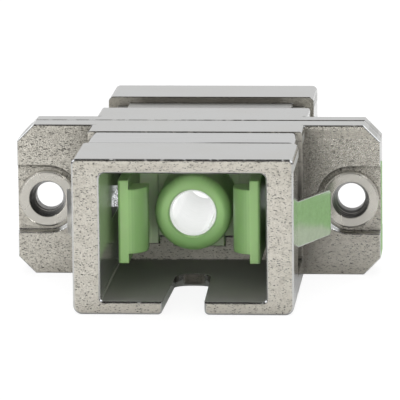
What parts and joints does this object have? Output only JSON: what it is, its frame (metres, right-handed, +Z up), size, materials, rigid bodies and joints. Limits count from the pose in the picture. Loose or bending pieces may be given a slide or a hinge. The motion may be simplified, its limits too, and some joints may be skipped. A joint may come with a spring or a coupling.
{
  "type": "fibre optic adapter",
  "caption": "Flanged metal simplex adapter that joins two angled fibre plugs end to end, with a panel spring clip, tubular rivets and green latch inserts.",
  "frame": {"origin": "on the port axis at the plane where the two cast halves meet, which is the centre of the bounding box", "axes": "+Z up, away from the keyway side; Y along the ports, the front port with the spring clip faces -Y; X across the flange"},
  "size_m": [0.0216, 0.0264, 0.009],
  "materials": {
    "cast_metal": "satin",
    "green_plastic": "satin",
    "white_ceramic": "gloss",
    "spring_steel": "polished",
    "plated_rivet": "satin"
  },
  "bodies": {
    "root": {"front_housing": "cast_metal", "rear_housing": "cast_metal", "front_insert": "green_plastic", "rear_insert": "green_plastic", "alignment_sleeve": "white_ceramic", "spring_clip": "spring_steel", "left_rivet": "plated_rivet", "right_rivet": "plated_rivet"}
  },
  "joints": []
}
